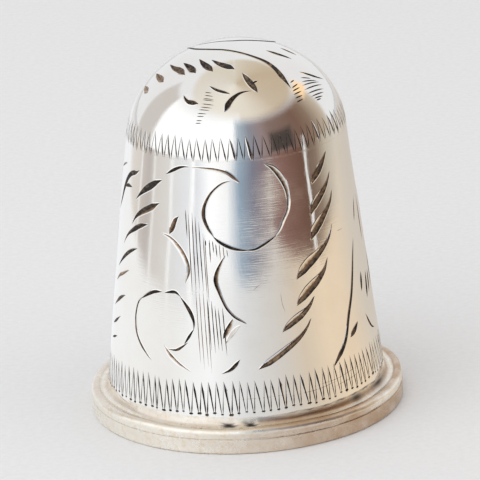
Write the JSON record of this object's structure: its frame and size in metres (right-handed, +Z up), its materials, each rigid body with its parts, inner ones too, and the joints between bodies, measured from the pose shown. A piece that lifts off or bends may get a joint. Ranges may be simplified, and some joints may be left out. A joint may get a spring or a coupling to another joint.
{
  "type": "thimble",
  "caption": "Dome-topped silver sewing thimble with a beaded foot rim, for light engraved decoration; worn on a fingertip to push a needle.",
  "frame": {"origin": "centre of the mouth, on the plane that the thimble stands on", "axes": "+Z up along the thimble's axis to the crown's apex; the decorated front faces -Y and the wall's soldered seam lies at +Y"},
  "size_m": [0.018, 0.018, 0.0216],
  "materials": {
    "polished_silver": "polished silver sheet, finely scratched from wear, with black oxide left in the engraving",
    "rim_silver": "silver worn to a satin, with warm tarnish in the cove and creases",
    "silver_solder": "silver solder, slightly greyer and duller than the sheet"
  },
  "bodies": {
    "root": {"base_ring": "rim_silver", "ring_solder_joint": "silver_solder", "foot_moulding": "rim_silver", "foot_solder_joint": "silver_solder", "side_wall": "polished_silver", "wall_seam_solder": "silver_solder", "crown_solder_joint": "silver_solder", "crown": "polished_silver"}
  },
  "joints": []
}
